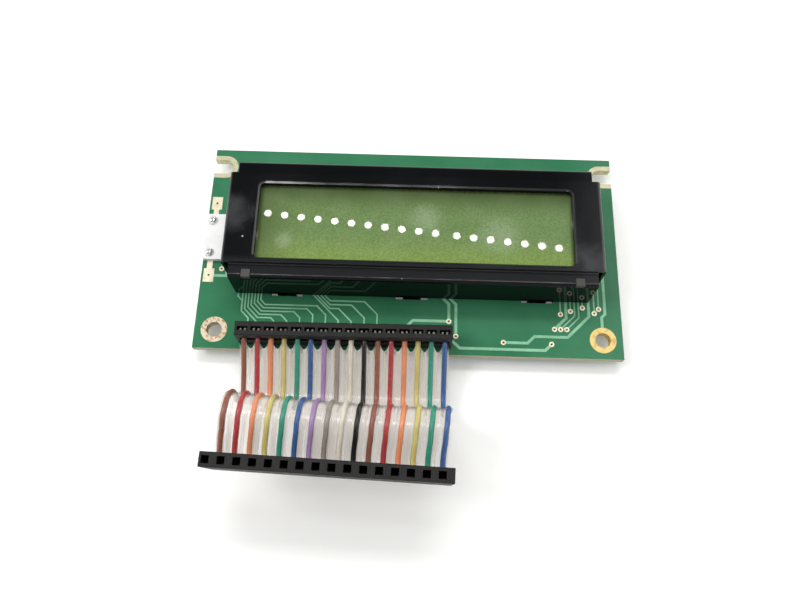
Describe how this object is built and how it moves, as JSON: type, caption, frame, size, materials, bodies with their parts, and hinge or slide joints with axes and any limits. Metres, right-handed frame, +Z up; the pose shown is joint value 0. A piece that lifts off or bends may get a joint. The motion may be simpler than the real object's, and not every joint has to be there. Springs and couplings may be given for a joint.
{
  "type": "character lcd module",
  "caption": "Flat green circuit board with a black-framed, backlit character display and a coloured ribbon lead that ends in a socket strip held in the air.",
  "frame": {"origin": "middle of the circuit board, on the surface that the bezel tabs stand on", "axes": "+X to the right along the display, +Y to the rear edge with the open slots, +Z up out of the display face"},
  "size_m": [0.084, 0.0703, 0.0225],
  "materials": {
    "laminate": "green solder mask on glass-epoxy board, glossy",
    "gold_land": "bare plated copper, dulled",
    "tinned_land": "tinned copper, mottled",
    "masked_copper": "copper seen through green solder mask",
    "black_steel": "gloss black paint on sheet steel, scuffed",
    "frame_plastic": "dark grey moulding",
    "polariser": "olive polarising film over the liquid crystal",
    "glass": "clear plate",
    "diffuser": "milky sheet",
    "white_plastic": "white moulding",
    "white_laminate": "white-masked board",
    "chip_ceramic": "fired chip body",
    "tinned_pin": "tinned contact metal",
    "gilt_contact": "gilt contact metal",
    "solder": "bright solder",
    "elastomer": "layered conducting rubber",
    "connector_black": "moulded, satin",
    "black_epoxy": "poured, glossy",
    "resistor_black": "glazed chip face",
    "clear_film": "clear film",
    "wire_brown": "coloured insulation",
    "wire_red": "coloured insulation",
    "wire_orange": "coloured insulation",
    "wire_yellow": "coloured insulation",
    "wire_green": "coloured insulation",
    "wire_blue": "coloured insulation",
    "wire_violet": "coloured insulation",
    "wire_grey": "coloured insulation",
    "wire_white": "coloured insulation",
    "wire_black": "coloured insulation"
  },
  "bodies": {
    "root": {"main_board": "laminate", "fixing_lands": "gold_land", "slot_lands": "tinned_land", "front_tracks": "masked_copper", "rear_tracks": "masked_copper", "plated_vias": "gold_land", "pin_lands": "tinned_land", "backlight_lands": "gold_land", "bezel": "black_steel", "inner_frame": "frame_plastic", "front_polariser": "polariser", "front_glass": "glass", "rear_glass": "glass", "rear_polariser": "polariser", "diffuser_sheet": "diffuser", "reflector": "white_plastic", "led_chips": "chip_ceramic", "backlight_board": "white_laminate", "backlight_pins": "tinned_pin", "backlight_solder": "solder", "contact_strip_front": "elastomer", "contact_strip_rear": "elastomer", "fixed_connector_housing": "connector_black", "fixed_connector_contacts": "tinned_pin", "fixed_connector_solder": "solder", "controller_cap": "black_epoxy", "driver_cap": "black_epoxy", "chip_resistors": "resistor_black", "chip_capacitors": "chip_ceramic", "chip_terminals": "solder", "free_connector_housing": "connector_black", "free_connector_contacts": "gilt_contact", "ribbon_film": "clear_film", "wire_01": "wire_brown", "wire_02": "wire_red", "wire_03": "wire_orange", "wire_04": "wire_yellow", "wire_05": "wire_green", "wire_06": "wire_blue", "wire_07": "wire_violet", "wire_08": "wire_grey", "wire_09": "wire_white", "wire_10": "wire_black", "wire_11": "wire_brown", "wire_12": "wire_red", "wire_13": "wire_orange", "wire_14": "wire_yellow", "wire_15": "wire_green", "wire_16": "wire_blue"}
  },
  "joints": []
}
